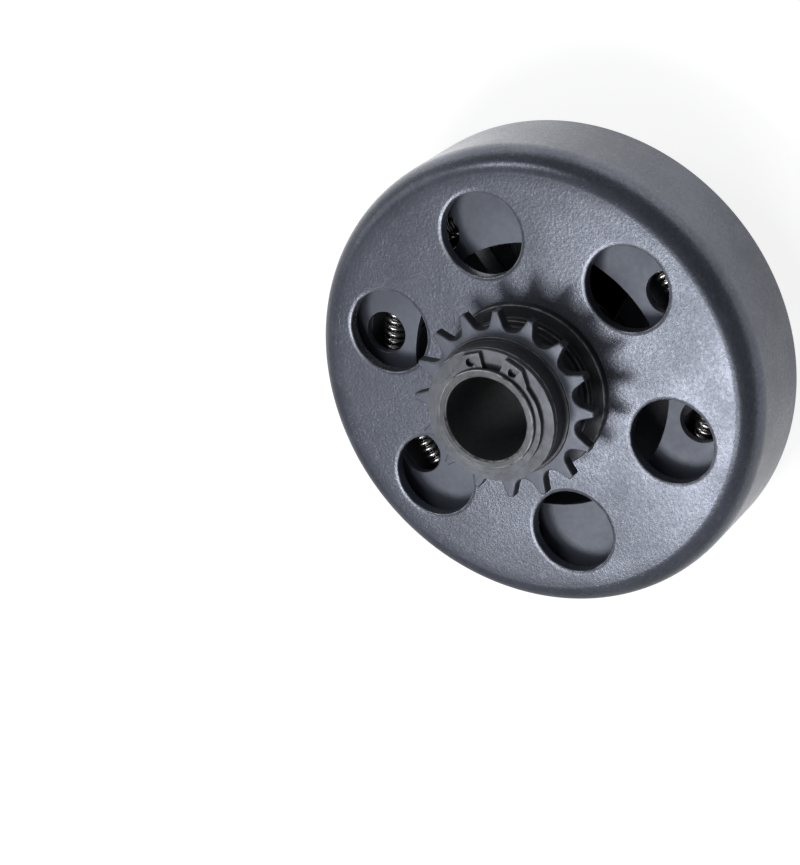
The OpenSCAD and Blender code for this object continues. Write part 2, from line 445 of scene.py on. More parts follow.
FINISHES = {
    "drum": finish(
        "drum_phosphate", (0.075, 0.083, 0.107), (0.135, 0.146, 0.182), (0.42, 0.43, 0.46),
        metallic=0.5, rough=(0.24, 0.32), patches=60.0, mottles=1300.0, mottle_share=0.4,
        crystals=1500.0, bright=0.1, bright_gain=0.1, bump=0.8, relief=0.00005,
    ),
    # Sprocket: its tooth fronts get a paler tone, partly a ground face and partly painted light.
    "sprocket": finish(
        "sprocket_black_oxide", (0.038, 0.041, 0.048), (0.075, 0.079, 0.09), (0.5, 0.5, 0.5),
        metallic=0.4, rough=(0.36, 0.46), lines=2500.0, line_share=0.3, bright_gain=0.0,
        wear_and_glint_amount=0.4, ground_and_lit_face_at=TOOTH_TOP * MM,
    ),
    "bush": finish(
        "bush_sintered_bronze", (0.42, 0.27, 0.13), (0.55, 0.37, 0.2), (0.7, 0.5, 0.3),
        crystals=3000.0, rough=(0.4, 0.55),
    ),
    "washer": finish(
        "washer_ground_steel", (0.07, 0.075, 0.087), (0.12, 0.127, 0.145), (0.5, 0.5, 0.52),
        metallic=0.4, rough=(0.36, 0.46), lines=3500.0, line_share=0.7, bright_gain=0.0,
    ),
    "clip": finish(
        "clip_spring_steel", (0.07, 0.075, 0.087), (0.13, 0.137, 0.155), (0.6, 0.6, 0.62),
        metallic=0.4, rough=(0.36, 0.46), crystals=2500.0, bright_gain=0.0,
    ),
    "hub": finish(
        "hub_turned_steel", (0.06, 0.063, 0.07), (0.12, 0.125, 0.138), (0.7, 0.7, 0.7),
        metallic=0.4, rough=(0.36, 0.46), lines=3000.0, line_share=0.7, bright_gain=0.0,
    ),
    "arms": finish(
        "arms_black_steel", (0.1, 0.1, 0.115), (0.16, 0.16, 0.18), (0.18, 0.18, 0.2),
        metallic=0.2, rough=(0.5, 0.6), bright_gain=0.0,
    ),
    "nut": finish(
        "nut_forged_steel", (0.11, 0.11, 0.115), (0.2, 0.2, 0.205), (0.45, 0.45, 0.46),
        metallic=0.4, rough=(0.36, 0.5),
    ),
    "front_plate": finish(
        "front_plate_steel", (0.11, 0.124, 0.162), (0.14, 0.157, 0.2), (0.3, 0.3, 0.32),
        metallic=0.15, rough=(0.42, 0.5), crystals=2600.0, bright=0.1, bright_gain=0.05, bump=0.15,
    ),
    "rear_plate": finish(
        "rear_plate_steel", (0.16, 0.16, 0.18), (0.3, 0.3, 0.31), (0.5, 0.5, 0.52),
        metallic=0.4, rough=(0.34, 0.5), patches=70.0,
    ),
    # Shoes: painted shade darkens them above 19.5 mm, inside the clutch.
    "shoe": finish(
        "shoe_sintered_iron", (0.16, 0.175, 0.17), (0.24, 0.26, 0.25), (0.4, 0.4, 0.4),
        metallic=0.3, rough=(0.42, 0.56), crystals=2200.0, painted_shade_above=0.0195,
    ),
    "spring": finish(
        "spring_wire", (0.4, 0.39, 0.38), (0.58, 0.57, 0.56), (0.8, 0.8, 0.8),
        metallic=1.0, rough=(0.18, 0.28), patches=200.0, bump=0.1,
    ),
}


# Shape helpers.
def arc(radius, first, last, steps, centre=(0.0, 0.0)):
    """Points on an arc, angles in degrees."""
    return [
        (
            centre[0] + radius * math.cos(math.radians(first + (last - first) * i / steps)),
            centre[1] + radius * math.sin(math.radians(first + (last - first) * i / steps)),
        )
        for i in range(steps + 1)
    ]


def turned_points(points, turn):
    c = math.cos(math.radians(turn))
    s = math.sin(math.radians(turn))
    return [(x * c - y * s, x * s + y * c) for x, y in points]


def inset_directions(line, side, closed):
    """At each point of a line, the mitred direction into the metal; side 1 is to its left."""
    count = len(line)
    result = []
    for i in range(count):
        before = line[i - 1] if (closed or i > 0) else None
        after = line[(i + 1) % count] if (closed or i < count - 1) else None
        if before is None or after is None:
            x, y = line[i]
            size = math.hypot(x, y)
            inward = -1.0 if side > 0 else 1.0
            result.append((inward * x / size, inward * y / size))
            continue
        normals = []
        for a, b in ((before, line[i]), (line[i], after)):
            dx, dy = b[0] - a[0], b[1] - a[1]
            size = math.hypot(dx, dy) or 1.0
            normals.append((-dy / size * side, dx / size * side))
        mx = normals[0][0] + normals[1][0]
        my = normals[0][1] + normals[1][1]
        size = math.hypot(mx, my) or 1.0
        mx, my = mx / size, my / size
        reach = max(0.5, mx * normals[0][0] + my * normals[0][1])
        result.append((mx / reach, my / reach))
    return result


def rounded_wall(low, high, edge, steps=4):
    """(inset, height, edge mark) from the top face down over both rounded edges."""
    top = []
    bottom = []
    for k in range(steps + 1):
        a = math.pi / 2 * k / steps
        mark = 1.0 if 0 < k < steps else 0.0
        inset = edge * (1 - math.sin(a))
        drop = edge * (1 - math.cos(a))
        top.append((inset, high - drop, mark))
        bottom.append((inset, low + drop, mark))
    return top + bottom[::-1]


def ring_of_points(bm, points, z, mark):
    layer = bm.verts.layers.float.get("edge") or bm.verts.layers.float.new("edge")
    made = []
    for x, y in points:
        v = bm.verts.new((x * MM, y * MM, z * MM))
        v[layer] = mark
        made.append(v)
    return made


def skin(bm, first, second, closed):
    count = len(first)
    for i in range(count if closed else count - 1):
        j = (i + 1) % count
        bm.faces.new((first[i], first[j], second[j], second[i]))


def wall(bm, line, side, closed, section):
    """A wall along the line with rounded edges; gives its top and bottom loop."""
    directions = inset_directions(line, side, closed)
    loops = []
    for inset, z, mark in section:
        points = [
            (p[0] + d[0] * inset, p[1] + d[1] * inset) for p, d in zip(line, directions)
        ]
        loops.append(ring_of_points(bm, points, z, mark))
    for a, b in zip(loops, loops[1:]):
        skin(bm, a, b, closed)
    return loops[0], loops[-1]


def revolve(bm, section, first, last, steps, closed=False):
    """A turned surface between two angles; section holds (radius, height, edge mark)."""
    full = abs(last - first) >= 360
    loops = []
    for radius, z, mark in section:
        points = arc(radius, first, last, steps)
        loops.append(ring_of_points(bm, points[:-1] if full else points, z, mark))
    pairs = list(zip(loops, loops[1:]))
    if closed:
        pairs.append((loops[-1], loops[0]))
    for a, b in pairs:
        skin(bm, a, b, full)
    return loops[0], loops[-1]


def flat_fill(bm, border, holes=()):
    """Covers a flat area bounded by one loop, less its holes."""
    loops = [border, *holes]
    together = [v for loop in loops for v in loop]
    flat = [[Vector((v.co.x, v.co.y, 0)) for v in loop] for loop in loops]
    for tri in geometry.tessellate_polygon(flat):
        corners = [together[i] for i in tri]
        if len(set(corners)) == 3:
            try:
                bm.faces.new(corners)
            except ValueError:
                pass


def corner(centre, radius, first, last, steps, mark=1.0):
    """A rounded corner of a turned section, marked as an edge between its ends."""
    points = arc(radius, first, last, steps, centre)
    return [(x, y, mark if 0 < i < steps else 0.0) for i, (x, y) in enumerate(points)]


# Geometry trees.
def repeat_tree():
    """Repeats a sector round the shaft axis and closes the seams."""
    tree, start, end = new_group(
        "repeat_round_axis",
        "GeometryNodeTree",
        [
            ("Sector", "NodeSocketGeometry", None),
            ("Count", "NodeSocketInt", 6),
            ("Seam", "NodeSocketFloat", 0.000002),
            ("Finish", "NodeSocketMaterial", None),
        ],
        [("Piece", "NodeSocketGeometry")],
    )
    points = put(tree, "GeometryNodePoints", {"Count": start.outputs["Count"]})
    index = put(tree, "GeometryNodeInputIndex")
    share = put(
        tree,
        "ShaderNodeMath",
        {0: index.outputs[0], 1: start.outputs["Count"]},
        operation="DIVIDE",
    )
    turn = put(
        tree,
        "ShaderNodeMath",
        {0: share.outputs[0], 1: 2 * math.pi},
        operation="MULTIPLY",
    )
    rotation = put(tree, "ShaderNodeCombineXYZ", {"Z": turn.outputs[0]})
    copies = put(
        tree,
        "GeometryNodeInstanceOnPoints",
        {"Points": points.outputs[0], "Instance": start.outputs["Sector"],
         "Rotation": rotation.outputs[0]},
    )
    real = put(tree, "GeometryNodeRealizeInstances", {0: copies.outputs[0]})
    joined = put(
        tree,
        "GeometryNodeMergeByDistance",
        {"Geometry": real.outputs[0], "Distance": start.outputs["Seam"]},
    )
    painted = put(
        tree,
        "GeometryNodeSetMaterial",
        {"Geometry": joined.outputs[0], "Material": start.outputs["Finish"]},
    )
    tree.links.new(painted.outputs[0], end.inputs["Piece"])
    return tree


def coil_tree():
    """A close coil of wire wound round a ring and joined end to end."""
    tree, start, end = new_group(
        "coil_round_ring",
        "GeometryNodeTree",
        [
            ("Ring Radius", "NodeSocketFloat", 0.0405),
            ("Ring Height", "NodeSocketFloat", 0.028),
            ("Coil Radius", "NodeSocketFloat", 0.0023),
            ("Wire Radius", "NodeSocketFloat", 0.0007),
            ("Coils", "NodeSocketInt", 150),
            ("Points Per Coil", "NodeSocketInt", 18),
            ("Wire Sides", "NodeSocketInt", 10),
            ("Finish", "NodeSocketMaterial", None),
        ],
        [("Piece", "NodeSocketGeometry")],
    )
    total = put(
        tree,
        "ShaderNodeMath",
        {0: start.outputs["Coils"], 1: start.outputs["Points Per Coil"]},
        operation="MULTIPLY",
    )
    line = put(tree, "GeometryNodeMeshLine", {"Count": total.outputs[0]})
    index = put(tree, "GeometryNodeInputIndex").outputs[0]

    def turn_by(divisor):
        part = put(tree, "ShaderNodeMath", {0: index, 1: divisor}, operation="DIVIDE")
        return put(
            tree,
            "ShaderNodeMath",
            {0: part.outputs[0], 1: 2 * math.pi},
            operation="MULTIPLY",
        ).outputs[0]

    def wave(angle, operation):
        return put(tree, "ShaderNodeMath", {0: angle}, operation=operation).outputs[0]

    def calculate(operation, a, b):
        return put(tree, "ShaderNodeMath", {0: a, 1: b}, operation=operation).outputs[0]

    round_ring = turn_by(total.outputs[0])
    round_wire = turn_by(start.outputs["Points Per Coil"])
    swing = calculate("MULTIPLY", wave(round_wire, "COSINE"), start.outputs["Coil Radius"])
    lift = calculate("MULTIPLY", wave(round_wire, "SINE"), start.outputs["Coil Radius"])
    reach = calculate("ADD", swing, start.outputs["Ring Radius"])
    spot = put(
        tree,
        "ShaderNodeCombineXYZ",
        {
            "X": calculate("MULTIPLY", reach, wave(round_ring, "COSINE")),
            "Y": calculate("MULTIPLY", reach, wave(round_ring, "SINE")),
            "Z": calculate("ADD", lift, start.outputs["Ring Height"]),
        },
    )
    placed = put(
        tree,
        "GeometryNodeSetPosition",
        {"Geometry": line.outputs[0], "Position": spot.outputs[0]},
    )
    path = put(tree, "GeometryNodeMeshToCurve", {0: placed.outputs[0]})
    closed = put(tree, "GeometryNodeSetSplineCyclic", {"Geometry": path.outputs[0], "Cyclic": True})
    section = put(
        tree,
        "GeometryNodeCurvePrimitiveCircle",
        {"Resolution": start.outputs["Wire Sides"], "Radius": start.outputs["Wire Radius"]},
    )
    tube = put(
        tree,
        "GeometryNodeCurveToMesh",
        {"Curve": closed.outputs[0], "Profile Curve": section.outputs[0]},
    )
    real = put(tree, "GeometryNodeRealizeInstances", {0: tube.outputs[0]})
    painted = put(
        tree,
        "GeometryNodeSetMaterial",
        {"Geometry": real.outputs[0], "Material": start.outputs["Finish"]},
    )
    tree.links.new(painted.outputs[0], end.inputs["Piece"])
    return tree


REPEAT = repeat_tree()
COIL = coil_tree()


def grown_mesh(source, tree, values):
    """Runs a geometry tree on a mesh object and gives back a plain mesh."""
    holder = bpy.data.objects.new("working_copy", source)
    bpy.context.scene.collection.objects.link(holder)
    step = holder.modifiers.new("grow", "NODES")
    step.node_group = tree
    sockets = {item.name: item.identifier for item in tree.interface.items_tree
               if item.item_type == "SOCKET" and item.in_out == "INPUT"}
    for name, value in values.items():
        step[sockets[name]] = value
    bpy.context.view_layer.update()
    seen = holder.evaluated_get(bpy.context.evaluated_depsgraph_get())
    result = bpy.data.meshes.new_from_object(seen)
    holder.modifiers.remove(step)
    bpy.data.objects.remove(holder)
    return result


def settle(mesh, sharp=38.0):
    """Faces out, doubles gone, smooth over rounded edges only."""
    bm = bmesh.new()
    bm.from_mesh(mesh)
    bmesh.ops.remove_doubles(bm, verts=bm.verts, dist=0.000002)
    bmesh.ops.recalc_face_normals(bm, faces=bm.faces)
    bm.to_mesh(mesh)
    bm.free()
    mesh.shade_smooth()
    mesh.set_sharp_from_angle(angle=math.radians(sharp))


def add_piece(name, mesh, body, nodes, weighted=True):
    piece = bpy.data.objects.new(name, mesh)
    mesh.name = name
    bpy.context.scene.collection.objects.link(piece)
    if weighted:
        step = piece.modifiers.new("even_shading", "WEIGHTED_NORMAL")
        step.keep_sharp = True
        step.weight = 80
    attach(piece, body)
    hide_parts(*nodes)
    return piece


def piece_from(bm, name, body, look, nodes, count=1):
    """Turns a finished bmesh, or one sector of it, into a piece."""
    mesh = bpy.data.meshes.new(name)
    bm.to_mesh(mesh)
    bm.free()
    if count > 1:
        mesh = grown_mesh(mesh, REPEAT, {"Count": count, "Finish": FINISHES[look]})
    if not mesh.materials:
        mesh.materials.append(FINISHES[look])
    settle(mesh)
    return add_piece(name, mesh, body, nodes)


# Drum.
def shoulder_points():
    """Drum shoulder: a slow roll off the face, a tight bend, then a slow bend to the side."""
    radius, z = 48.0, FACE_Z
    points = [(radius, z, 0.0)]
    bends = [(45.0, 0, 3.5, 3), (4.5, 3.5, 42, 12), (8.5, 42, 60, 5)]
    for bend_r, first, last, steps in bends:
        for i in range(steps):
            a = math.radians(first + (last - first) * i / steps)
            b = math.radians(first + (last - first) * (i + 1) / steps)
            radius += bend_r * (math.sin(b) - math.sin(a))
            z -= bend_r * (math.cos(a) - math.cos(b))
            points.append((radius, z, 0.0))
    side = math.radians(60)
    last_r = (DRUM_R - radius) / (1 - math.sin(side))
    end_z = z - last_r * math.cos(side)
    for i in range(1, 9):
        a = side + (math.pi / 2 - side) * i / 8
        points.append((DRUM_R - last_r * (1 - math.sin(a)), end_z + last_r * math.cos(a), 0.0))
    return points


def window_lip():
    """Edge of a window: the face rolls in a little before the rounded edge."""
    lip = [(1.0, FACE_Z, 0.0), (0.75, FACE_Z - 0.015, 0.0), (0.4, FACE_Z - 0.06, 0.0)]
    for k in range(1, 6):
        a = math.radians(15 + 15 * k)
        mark = 1.0 if k < 4 else 0.0
        lip.append((0.4 * (1 - math.sin(a)), FACE_Z - 0.06 - 0.4 * (0.966 - math.cos(a)), mark))
    low = FACE_Z - DRUM_WALL
    return lip + [(0.0, low + 0.3, 0.0), (0.09, low + 0.09, 1.0), (0.3, low, 0.0)]


def make_drum():
    bm = bmesh.new()
    half = 30.0
    steps = 40
    flat_r = DRUM_R - DRUM_CORNER
    inner_r = DRUM_R - DRUM_WALL
    shell = shoulder_points()
    shell += corner((DRUM_R - 0.5, RIM_Z + 0.5), 0.5, 0, -90, 4)
    shell += corner((inner_r + 0.5, RIM_Z + 0.5), 0.5, 270, 180, 4)
    shell += corner((flat_r, FACE_Z - DRUM_CORNER), DRUM_CORNER - DRUM_WALL, 0, 90, 10, mark=0.0)
    top_out, low_out = revolve(bm, shell, -half, half, steps)
    hole = [(SPIGOT_R + 0.3, FACE_Z, 0.0), (SPIGOT_R, FACE_Z - 0.3, 0.0),
            (SPIGOT_R, FACE_Z - DRUM_WALL, 0.0)]
    top_in, low_in = revolve(bm, hole, -half, half, steps)
    window = arc(WINDOW_R, 0, 360, 64, (WINDOW_RING_R, 0))[:-1]
    lip_top, lip_low = wall(bm, window, -1, True, window_lip())
    flat_fill(bm, top_out + top_in[::-1], [lip_top])
    flat_fill(bm, low_out + low_in[::-1], [lip_low])
    return piece_from(bm, "drum_shell", "drum_unit", "drum", ["drum"], 6)


# Sprocket.
def tooth_space_line():
    """Half a tooth, a round seat and half a tooth, from one sector ray to the other."""
    half = 180.0 / TOOTH_COUNT
    x0 = SEAT_R * math.sin(FLANK)
    y0 = SEAT_R * math.cos(FLANK)
    slope = math.tan(FLANK)
    start_x = PITCH_R - x0
    a = 1 + slope * slope
    b = 2 * slope * (y0 - slope * start_x)
    c = (y0 - slope * start_x) ** 2 - TIP_R ** 2
    tip_x = (-b + math.sqrt(b * b - 4 * a * c)) / (2 * a)
    tip_y = y0 + (tip_x - start_x) * slope
    tip_angle = math.degrees(math.atan2(tip_y, tip_x))
    line = arc(TIP_R, -half, -tip_angle, 3)
    line += [(tip_x + (start_x - tip_x) * k / 3, -(tip_y + (y0 - tip_y) * k / 3)) for k in (1, 2)]
    line += arc(SEAT_R, -118, -242, 14, (PITCH_R, 0))
    line += [(start_x + (tip_x - start_x) * k / 3, y0 + (tip_y - y0) * k / 3) for k in (1, 2)]
    line += arc(TIP_R, tip_angle, half, 3)
    return line


def make_sprocket():
    bm = bmesh.new()
    turn = 12.5
    half = 180.0 / TOOTH_COUNT
    steps = 12
    line = turned_points(tooth_space_line(), turn)
    top_out, low_out = wall(bm, line, 1, False, rounded_wall(TOOTH_LOW, TOOTH_TOP, 0.3))
    section = [(16.9, TOOTH_TOP, 0.0), (16.72, TOOTH_TOP + 0.05, 0.0)]
    section += corner((16.5, TOOTH_TOP + 0.35), 0.15, 0, 90, 3)
    section += [(COLLAR_R + 0.2, TOOTH_TOP + 0.5, 0.0), (COLLAR_R, TOOTH_TOP + 0.7, 0.0)]
    section += corner((COLLAR_R - 0.4, COLLAR_TOP - 0.4), 0.4, 0, 90, 4)
    section += corner((BUSH_R + 0.2, COLLAR_TOP - 0.2), 0.2, 90, 180, 3)
    section += [(BUSH_R, FACE_Z - 3.4, 0.0), (SPIGOT_R - 0.2, FACE_Z - 3.4, 0.0)]
    section += [(SPIGOT_R, FACE_Z - 3.2, 0.0), (SPIGOT_R, FACE_Z, 0.0)]
    section += [(20.3, FACE_Z, 0.0), (20.4, FACE_Z + 0.1, 0.0)]
    section += corner((20.4 - 0.4, FACE_Z + 2 - 0.4), 0.4, 0, 90, 4)
    section += [(17.5, FACE_Z + 2, 0.0), (17.2, FACE_Z + 2.3, 0.0)]
    section += corner((17.2 - 0.3, FACE_Z + 3.8 - 0.3), 0.3, 0, 90, 3)
    section += [(16.0, FACE_Z + 3.8, 0.0), (15.6, FACE_Z + 4.2, 0.0)]
    section += [(15.6, TOOTH_LOW - 0.4, 0.0), (16.0, TOOTH_LOW, 0.0)]
    top_in, low_in = revolve(bm, section, turn - half, turn + half, steps)
    flat_fill(bm, top_out + top_in[::-1])
    flat_fill(bm, low_out + low_in[::-1])
    return piece_from(
        bm, "sprocket_teeth_and_collar", "drum_unit", "sprocket",
        ["sprocket"], TOOTH_COUNT,
    )


# Washer and clip.
def closed_ring_section(outer, inner, low, high, edge):
    section = corner((outer - edge, high - edge), edge, 90, 0, 4)
    section += corner((outer - edge, low + edge), edge, 0, -90, 4)
    section += corner((inner + edge, low + edge), edge, 270, 180, 4)
    section += corner((inner + edge, high - edge), edge, 180, 90, 4)
    return section


def make_ring(name, body, look, node, outer, inner, low, high, edge):
    bm = bmesh.new()
    revolve(bm, closed_ring_section(outer, inner, low, high, edge), 0, 360, 192, closed=True)
    return piece_from(bm, name, body, look, [node])


def make_clip():
    """External circlip: a ring open at its lugs, each lug with a plier hole."""
    bm = bmesh.new()
    turn = 37.4
    inner_r = TUBE_R - 0.85
    lug = [(TUBE_R + 3.3, -2.9), (TUBE_R + 3.3, 1.6), (TUBE_R + 0.9, 4.2)]
    upper = [(inner_r * math.cos(math.radians(9.6)), inner_r * math.sin(math.radians(9.6)))]
    upper += turned_points(lug, 23)
    ring_r = TUBE_R + 1.3
    back = arc(ring_r, 43, 317, 84, (-0.3, 0))
    lower = [(x, -y) for x, y in upper[::-1]]
    inside = arc(inner_r, 350.4, 9.6, 100)
    outline = upper + back + lower + inside[1:-1]
    line = turned_points(outline, turn)
    section = rounded_wall(CLIP_LOW, CLIP_TOP, 0.12, 3)
    top, low = wall(bm, line, 1, True, section)
    hole_loops = []
    for side in (-1, 1):
        a = math.radians(side * 23.2)
        spot = ((TUBE_R + 1.5) * math.cos(a), (TUBE_R + 1.5) * math.sin(a))
        circle = turned_points(arc(1.05, 0, 360, 24, spot)[:-1], turn)
        hole_loops.append(wall(bm, circle, -1, True, section))
    flat_fill(bm, top, [pair[0] for pair in hole_loops])
    flat_fill(bm, low, [pair[1] for pair in hole_loops])
    return piece_from(
        bm, "retaining_clip", "hub_unit", "clip", ["retaining_ring"]
    )


# Hub.
def make_hub():
    bm = bmesh.new()
    boss_r = 12.6
    section = [(BORE_R, 0.45, 0.0), (BORE_R + 0.22, 0.2, 1.0), (BORE_R + 0.45, 0.0, 0.0)]
    section += corner((boss_r - 0.4, 0.4), 0.4, 270, 360, 4)
    section += [(boss_r, 3.6, 0.0), (boss_r + 0.2, 3.8, 0.0)]
    section += corner((13.9 - 0.3, 4.1), 0.3, 270, 360, 3)
    section += [(13.9, NUT_LOW + 2.8, 0.0), (14.1, NUT_LOW + 3.0, 0.0)]
    section += corner((THREAD_R - 0.4, NUT_LOW + 3.4), 0.4, 270, 360, 3)
    section += [(THREAD_R, 21.1, 0.0), (SHOULDER_R, 21.1, 0.0)]
    section += corner((SHOULDER_R - 0.3, FRONT_PLATE_TOP - 0.3), 0.3, 0, 90, 3)
    section += [(TUBE_R + 0.2, FRONT_PLATE_TOP, 0.0), (TUBE_R, FRONT_PLATE_TOP + 0.2, 0.0)]
    section += [(TUBE_R, CLIP_LOW - 0.05, 0.0), (TUBE_R - 0.9, CLIP_LOW - 0.05, 0.0)]
    section += [(TUBE_R - 0.9, CLIP_TOP + 0.05, 0.0), (TUBE_R, CLIP_TOP + 0.05, 0.0)]
    section += corner((TUBE_R - 0.3, HUB_TOP - 0.3), 0.3, 0, 90, 4)
    section += [(BORE_R + 0.45, HUB_TOP, 0.0), (BORE_R + 0.22, HUB_TOP - 0.2, 1.0)]
    section += [(BORE_R, HUB_TOP - 0.45, 0.0)]
    revolve(bm, section, 0, 360, 160, closed=True)
    piece_from(bm, "hub_body", "hub_unit", "hub", ["hub"])

    bm = bmesh.new()
    core_r = 20.5
    half_w = 7.0
    root_x = math.sqrt(core_r * core_r - half_w * half_w)
    root_a = math.degrees(math.asin(half_w / core_r))
    line = []
    posts = []
    for k in range(3):
        turn = SHOE_TURN + 120 * k
        one = [(root_x, -half_w), (ARM_REACH - 1, -half_w)]
        one += arc(1.0, -90, 0, 4, (ARM_REACH - 1, -half_w + 1))
        one += arc(1.0, 0, 90, 4, (ARM_REACH - 1, half_w - 1))
        one += arc(core_r, root_a, 120 - root_a, 24)[:-1]
        line += turned_points(one, turn)
        side = half_w - 0.5
        post = [(PLATE_BORE_R, -side), (ARM_REACH - 0.5, -side), (ARM_REACH - 0.5, side),
                (PLATE_BORE_R, side)]
        posts.append(turned_points(post, turn))
    clean = [p for i, p in enumerate(line)
             if math.hypot(p[0] - line[i - 1][0], p[1] - line[i - 1][1]) > 0.001]
    section = rounded_wall(CORE_LOW, ARM_TOP, 0.3, 3)
    top, low = wall(bm, clean, 1, True, section)
    bore = arc(13.0, 0, 360, 64)[:-1]
    bore_top, bore_low = wall(bm, bore, -1, True, section)
    feet = []
    for post in posts:
        rise = [(0.2, CORE_TOP, 0.0), (0.0, CORE_TOP - 0.2, 0.0), (0.0, ARM_TOP, 0.0)]
        post_top, foot = wall(bm, post, 1, True, rise)
        flat_fill(bm, post_top)
        feet.append(foot)
    flat_fill(bm, top, [bore_top, *feet])
    flat_fill(bm, low, [bore_low])
    piece_from(bm, "hub_driving_arms", "hub_unit", "arms", ["hub"])


def make_nut():
    """One eighth of the castle nut, cut through the middle of two merlons."""
    bm = bmesh.new()
    slot = 2.9
    floor_r = THREAD_R + 1.4
    side_x = math.sqrt(NUT_R ** 2 - slot ** 2)
    side_a = math.degrees(math.asin(slot / NUT_R))
    line = arc(NUT_R, -22.5, -side_a, 8)
    line += [(floor_r + 0.4, -slot)] + arc(0.4, 270, 180, 3, (floor_r + 0.4, -slot + 0.4))[1:]
    line += arc(0.4, 180, 90, 3, (floor_r + 0.4, slot - 0.4))
    line += arc(NUT_R, side_a, 22.5, 8)
    top_out, low_out = wall(
        bm, line, 1, False, rounded_wall(NUT_LOW, REAR_PLATE_LOW, 0.35)
    )
    edge = [(THREAD_R + 0.5, REAR_PLATE_LOW, 0.0), (THREAD_R, REAR_PLATE_LOW - 0.5, 0.0)]
    edge += [(THREAD_R, NUT_LOW + 0.5, 0.0), (THREAD_R + 0.5, NUT_LOW, 0.0)]
    top_in, low_in = revolve(bm, edge, -22.5, 22.5, 12)
    flat_fill(bm, top_out + top_in[::-1])
    flat_fill(bm, low_out + low_in[::-1])
    return piece_from(bm, "castle_nut", "hub_unit", "nut", ["slotted_nut"], 8)


# Guide plates.
def make_front_plate():
    bm = bmesh.new()
    turn = -9.3
    half = 22.5
    section = rounded_wall(CORE_TOP, FRONT_PLATE_TOP, 0.2)
    outer = arc(PLATE_R, turn - half, turn + half, 24)
    inner = arc(PLATE_BORE_R, turn - half, turn + half, 24)
    top_out, low_out = wall(bm, outer, 1, False, section)
    top_in, low_in = wall(bm, inner, -1, False, section)
    spot = (COIL_RING_R * math.cos(math.radians(turn)), COIL_RING_R * math.sin(math.radians(turn)))
    hole_top, hole_low = wall(bm, arc(5.1, 0, 360, 40, spot)[:-1], -1, True, section)
    flat_fill(bm, top_out + top_in[::-1], [hole_top])
    flat_fill(bm, low_out + low_in[::-1], [hole_low])
    return piece_from(
        bm, "front_plate", "hub_unit", "front_plate", ["front_guide_plate"], 8
    )


def make_rear_plate():
    bm = bmesh.new()
    turn = SHOE_TURN + 50
    side = math.radians(16)
    floor_x = 30.0
    corner_y = floor_x * math.tan(side)
    round_r = 3.0
    opening = math.radians(53)
    tangent = round_r / math.tan(opening)
    centre = (floor_x + round_r, corner_y - tangent)
    line = arc(PLATE_R, -60, -16, 20)
    line += [(floor_x + 12 * math.cos(side), -corner_y - 12 * math.sin(side)),
             (floor_x, -corner_y), (floor_x, 0.0)]
    line += arc(round_r, 180, 106, 6, centre)
    line += arc(PLATE_R, 16, 60, 20)
    section = rounded_wall(REAR_PLATE_LOW, CORE_LOW, 0.25)
    outer = turned_points(line, turn)
    inner = arc(THREAD_R, turn - 60, turn + 60, 30)
    top_out, low_out = wall(bm, outer, 1, False, section)
    top_in, low_in = wall(bm, inner, -1, False, section)
    flat_fill(bm, top_out + top_in[::-1])
    flat_fill(bm, low_out + low_in[::-1])
    return piece_from(
        bm, "rear_plate", "hub_unit", "rear_plate", ["rear_guide_plate"], 3
    )


# Shoes, spring.
def make_shoe(number):
    """The solid's own form with its hard edges broken by a small bevel."""
    node = f"shoe_{number}"
    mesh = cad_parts[node].data.copy()
    mesh.materials.clear()
    bm = bmesh.new()
    bm.from_mesh(mesh)
    bmesh.ops.remove_doubles(bm, verts=bm.verts, dist=0.000001)
    bmesh.ops.dissolve_limit(
        bm, angle_limit=math.radians(0.5), verts=bm.verts, edges=bm.edges
    )
    bm.to_mesh(mesh)
    bm.free()
    mesh.materials.append(FINISHES["shoe"])
    mesh.shade_smooth()
    mesh.set_sharp_from_angle(angle=math.radians(38))
    piece = add_piece(f"sliding_shoe_{number}", mesh, f"shoe_{number}_unit", [node],
                      weighted=False)
    step = piece.modifiers.new("broken_edges", "BEVEL")
    step.width = 0.00025
    step.segments = 2
    step.limit_method = "ANGLE"
    step.angle_limit = math.radians(38)
    step.harden_normals = True
    return piece


def make_spring():
    mesh = grown_mesh(
        bpy.data.meshes.new("empty_start"),
        COIL,
        {"Ring Radius": COIL_RING_R * MM, "Ring Height": COIL_Z * MM, "Coil Radius": 2.35 * MM,
         "Wire Radius": 0.72 * MM, "Coils": 150, "Points Per Coil": 18, "Wire Sides": 10,
         "Finish": FINISHES["spring"]},
    )
    if not mesh.materials:
        mesh.materials.append(FINISHES["spring"])
    mesh.shade_smooth()
    return add_piece("garter_coil", mesh, "hub_unit", ["garter_spring"],
                     weighted=False)


make_drum()
make_sprocket()
make_ring("thrust_washer_front", "hub_unit", "washer", "front_thrust_washer",
          COLLAR_R, TUBE_R + 0.05, 57.75, 59.15, 0.15)
make_clip()
make_hub()
make_nut()
make_front_plate()
make_rear_plate()
for number in (1, 2, 3):
    make_shoe(number)
make_spring()

for node, look in (("drum_bush", "bush"), ("inner_thrust_washer", "washer")):
    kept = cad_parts[node]
    kept.data.materials.clear()
    kept.data.materials.append(FINISHES[look])


